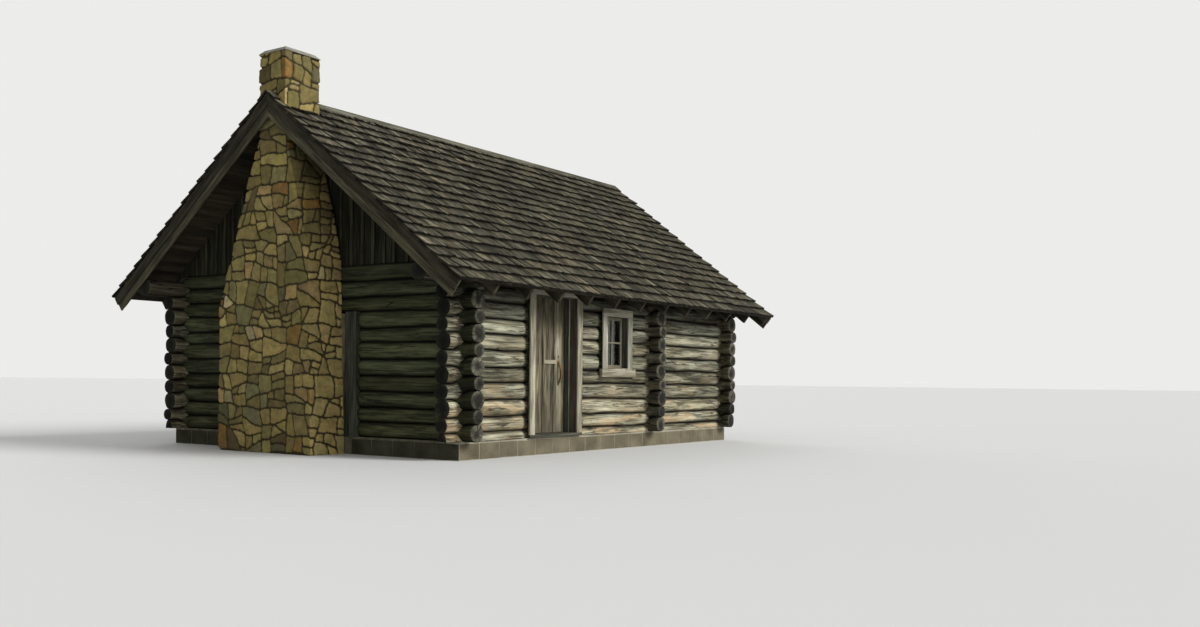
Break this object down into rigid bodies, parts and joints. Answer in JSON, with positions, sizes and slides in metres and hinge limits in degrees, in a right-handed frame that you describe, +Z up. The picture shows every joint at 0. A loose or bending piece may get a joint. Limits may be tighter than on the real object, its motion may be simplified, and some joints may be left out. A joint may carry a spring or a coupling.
{
  "type": "log cabin",
  "caption": "Weathered log cabin with saddle-notched corners, rubble stone gable chimney, shake roof, hinged plank door and small four-light windows.",
  "frame": {"origin": "on the ground under the middle of the roof, the bottom centre of the whole cabin", "axes": "+X along the front wall from the chimney gable to the far gable, +Y from the front wall with the door to the back wall, +Z up"},
  "size_m": [8.68, 7.0998, 5.56],
  "materials": {
    "weathered_log": "weathered, rough",
    "concrete_block": "rough",
    "rubble_stone": "rough, split faces",
    "mortar": "rough",
    "floor_wood": "worn",
    "weathered_board": "weathered, rough",
    "grey_board": "weathered, rough",
    "roof_timber": "sawn",
    "wood_shakes": "weathered, split",
    "ridge_cap_wood": "weathered",
    "casing_wood": "weathered, pale",
    "sash_wood": "weathered, pale",
    "window_glass": "clear",
    "door_wood": "weathered, worn by hands",
    "branch_wood": "barked, polished by hands",
    "black_iron": "forged, rusty"
  },
  "bodies": {
    "cabin": {"back_shingles": "wood_shakes", "back_wall_even_logs": "weathered_log", "back_wall_odd_logs": "weathered_log", "back_window_frame": "casing_wood", "back_window_glass": "window_glass", "back_window_sash": "sash_wood", "chimney": "rubble_stone", "chimney_crown": "mortar", "chimney_gable_barge_boards": "grey_board", "chimney_gable_boards": "weathered_board", "chimney_gable_even_logs": "weathered_log", "chimney_gable_odd_logs": "weathered_log", "chimney_posts": "grey_board", "cross_foundation": "concrete_block", "door_frame": "casing_wood", "door_hinge_pintles": "black_iron", "door_threshold": "casing_wood", "eave_blocking": "roof_timber", "eave_foundation": "concrete_block", "far_gable_barge_boards": "grey_board", "far_gable_boards": "weathered_board", "far_gable_even_logs": "weathered_log", "far_gable_odd_logs": "weathered_log", "floor_joists": "floor_wood", "floor_planks": "floor_wood", "front_shingles": "wood_shakes", "front_wall_even_logs": "weathered_log", "front_wall_odd_logs": "weathered_log", "front_window_frame": "casing_wood", "front_window_glass": "window_glass", "front_window_sash": "sash_wood", "gable_studs": "roof_timber", "inner_door_frame": "casing_wood", "partition_even_logs": "weathered_log", "partition_odd_logs": "weathered_log", "rafters": "roof_timber", "ridge_board": "roof_timber", "ridge_cap": "ridge_cap_wood", "roof_deck": "roof_timber"},
    "door": {"door_planks": "door_wood", "door_battens": "door_wood", "door_hinge_straps": "black_iron", "door_handle": "branch_wood", "door_latch_bar": "door_wood"}
  },
  "joints": [
    {"name": "door_hinge", "type": "hinge", "parent": "cabin", "child": "door", "pos_m": [-2.08, -2.656, 0], "axis": [0, 0, 1], "range_deg": [0, 100]}
  ]
}
